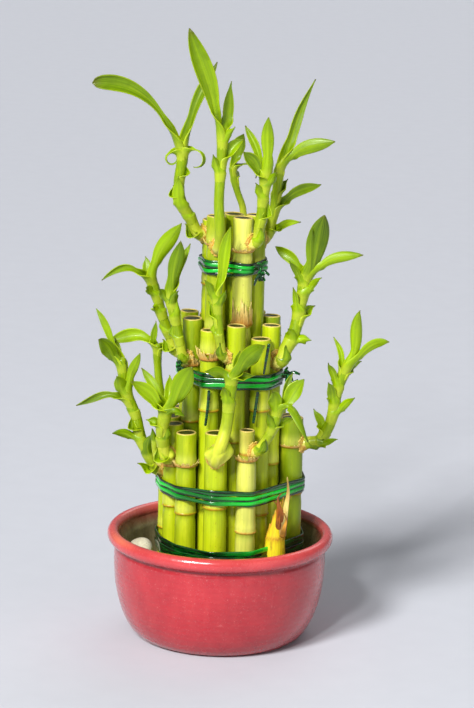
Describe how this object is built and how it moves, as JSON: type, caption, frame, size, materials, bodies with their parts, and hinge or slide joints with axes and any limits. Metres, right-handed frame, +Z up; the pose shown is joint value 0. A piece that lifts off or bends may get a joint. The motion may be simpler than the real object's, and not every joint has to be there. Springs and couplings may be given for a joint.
{
  "type": "lucky bamboo tower in a bowl",
  "caption": "Tied tower of cut lucky bamboo stalks in three tiers, with leafy side shoots, standing in a round glazed bowl.",
  "frame": {"origin": "middle of the bowl's foot, on the surface it stands on", "axes": "+Z up the stalks, -Y towards the front, +X to the right seen from the front"},
  "size_m": [0.1635, 0.12, 0.324],
  "materials": {
    "glaze": "glossy red glaze on stoneware",
    "pebble": "smooth water-worn stone",
    "stalk": "waxy green living stalk",
    "dry_stub": "dry yellow papery stalk",
    "leaf": "satin living leaf",
    "ribbon": "shiny green plastic ribbon"
  },
  "bodies": {
    "root": {"bowl": "glaze", "pebble_bottom": "pebble", "pebble_middle": "pebble", "pebble_top": "pebble", "outer_stalk_1": "stalk", "outer_stalk_2": "stalk", "outer_stalk_3": "stalk", "outer_stalk_4": "stalk", "outer_stalk_5": "stalk", "outer_stalk_6": "stalk", "outer_stalk_7": "stalk", "outer_stalk_8": "stalk", "outer_stalk_9": "stalk", "outer_stalk_10": "stalk", "outer_stalk_11": "stalk", "outer_stalk_12": "stalk", "torn_stub": "dry_stub", "middle_stalk_1": "stalk", "middle_stalk_2": "stalk", "middle_stalk_3": "stalk", "middle_stalk_4": "stalk", "middle_stalk_5": "stalk", "middle_stalk_6": "stalk", "middle_stalk_7": "stalk", "middle_stalk_8": "stalk", "middle_stalk_9": "stalk", "middle_stalk_10": "stalk", "inner_stalk_1": "stalk", "inner_stalk_2": "stalk", "inner_stalk_3": "stalk", "inner_stalk_4": "stalk", "inner_stalk_5": "stalk", "inner_stalk_6": "stalk", "inner_stalk_7": "stalk", "base_band": "ribbon", "lower_tie": "ribbon", "middle_tie": "ribbon", "top_tie": "ribbon", "middle_knot": "ribbon", "top_knot": "ribbon", "ribbon_tail_1": "ribbon", "ribbon_tail_2": "ribbon", "ribbon_tail_3": "ribbon", "crown_shoot_left": "leaf", "crown_shoot_front": "leaf", "crown_shoot_back": "leaf", "crown_shoot_right": "leaf", "crown_shoot_far_right": "leaf", "shoulder_shoot": "leaf", "low_shoot_right": "leaf", "front_shoot_right": "leaf", "front_shoot_centre": "leaf", "middle_shoot_front": "leaf", "left_shoot_outer": "leaf", "left_shoot_inner": "leaf", "far_left_shoot": "leaf", "left_front_shoot": "leaf", "left_back_shoot": "leaf", "left_bud": "leaf"}
  },
  "joints": []
}
